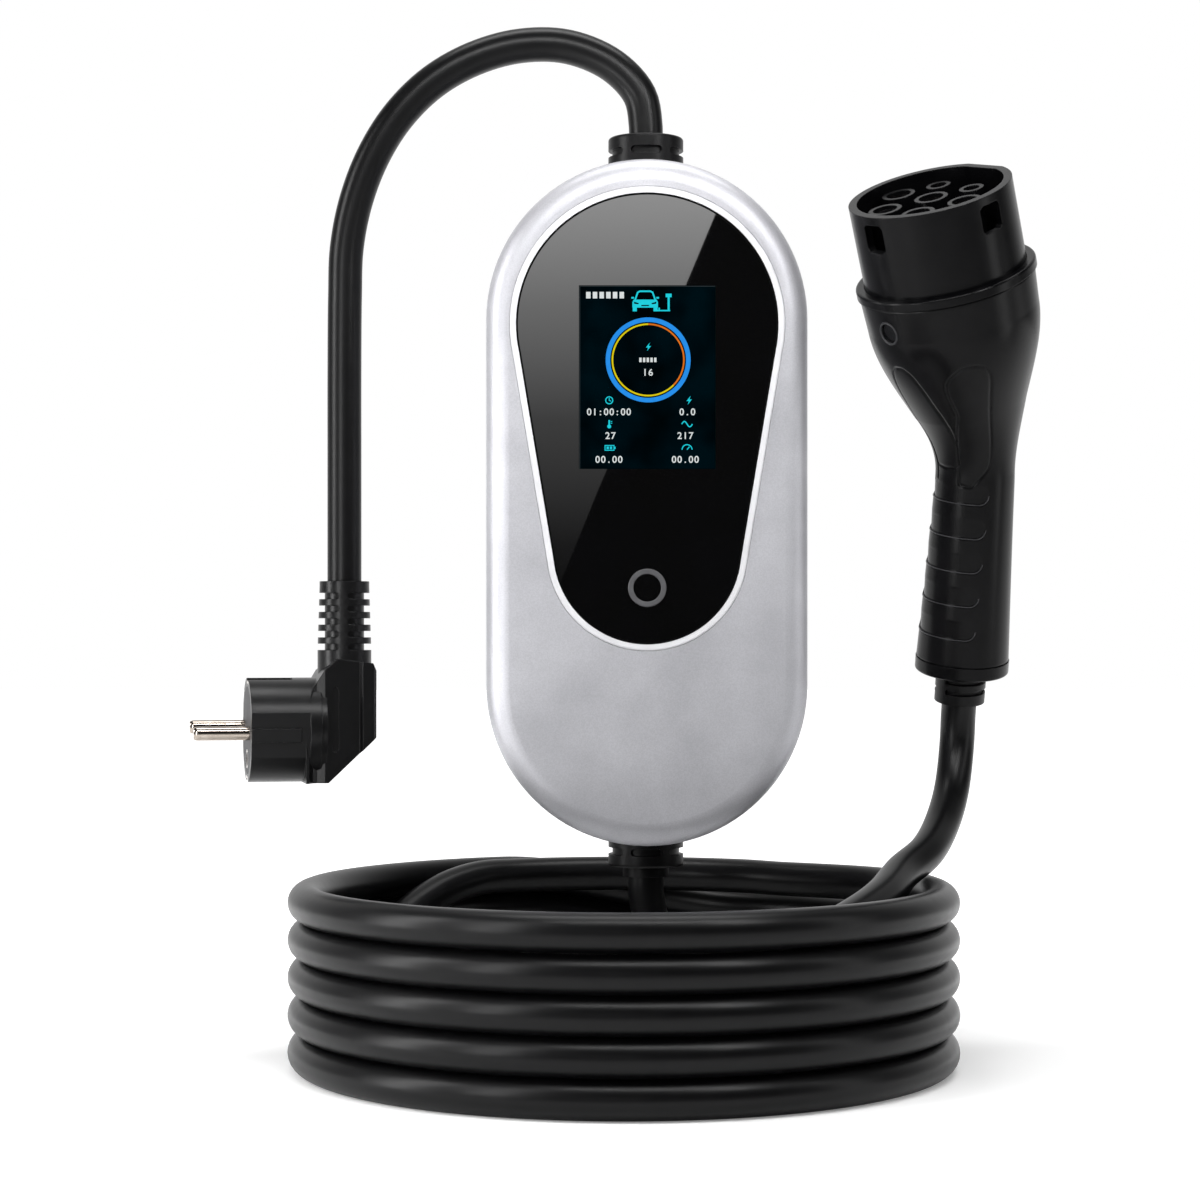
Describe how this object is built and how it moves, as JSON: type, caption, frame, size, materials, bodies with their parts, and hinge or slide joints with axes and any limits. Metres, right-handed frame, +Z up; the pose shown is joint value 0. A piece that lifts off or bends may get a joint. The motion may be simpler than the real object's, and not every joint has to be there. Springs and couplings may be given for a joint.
{
  "type": "portable electric vehicle charger",
  "caption": "Portable charger for electric cars: rounded control box with display, mains lead with angled plug, and a coiled vehicle lead with a hand-held connector.",
  "frame": {"origin": "middle of the lead coil's footprint on the floor", "axes": "+Z up, the display faces -Y, +X to the right as seen from the front"},
  "size_m": [0.2921, 0.2244, 0.3544],
  "materials": {
    "silver_plastic": "satin metallic",
    "bright_band": "satin",
    "panel_gloss": "gloss",
    "screen": "gloss",
    "touch_key": "satin",
    "circuit_board": "satin",
    "ribbon": "matte",
    "device_plastic": "matte",
    "can": "satin",
    "terminal_plastic": "matte",
    "screw_steel": "satin",
    "black_rubber": "satin",
    "cable_rubber": "satin",
    "wire_brown": "satin",
    "wire_blue": "satin",
    "plug_rubber": "matte",
    "face_plastic": "matte",
    "contact_metal": "bright",
    "black_plastic": "satin",
    "grip_rubber": "matte"
  },
  "bodies": {
    "root": {"front_shell": "silver_plastic", "rear_shell": "silver_plastic", "case_seal": "black_rubber", "bezel_ring": "bright_band", "display_panel": "panel_gloss", "lcd_module": "screen", "touch_ring": "touch_key", "display_board": "circuit_board", "display_ribbon": "ribbon", "main_board": "circuit_board", "relays": "device_plastic", "current_sensor": "device_plastic", "power_module": "device_plastic", "capacitors": "can", "terminal_blocks": "terminal_plastic", "case_screws": "screw_steel", "board_screws": "screw_steel", "cord_clamps": "black_plastic", "clamp_screws": "screw_steel", "mains_gland": "black_rubber", "lead_gland": "black_rubber", "mains_tail": "cable_rubber", "lead_tail": "cable_rubber", "mains_wires": "wire_brown", "lead_wires": "wire_blue", "mains_cable": "cable_rubber", "plug_body": "plug_rubber", "plug_face": "face_plastic", "mains_pins": "contact_metal", "earth_strips": "contact_metal", "earth_socket": "contact_metal", "lead_drop": "cable_rubber", "lead_coil": "cable_rubber", "lead_rise": "cable_rubber", "connector_shroud": "black_plastic", "contact_carrier": "black_plastic", "power_contacts": "contact_metal", "signal_contacts": "contact_metal", "connector_flange": "black_plastic", "connector_housing": "black_plastic", "finger_inlay": "grip_rubber", "side_inlays": "grip_rubber", "housing_screw": "screw_steel", "end_ring": "black_plastic", "tail_sleeve": "black_rubber", "connector_tail": "cable_rubber"}
  },
  "joints": []
}
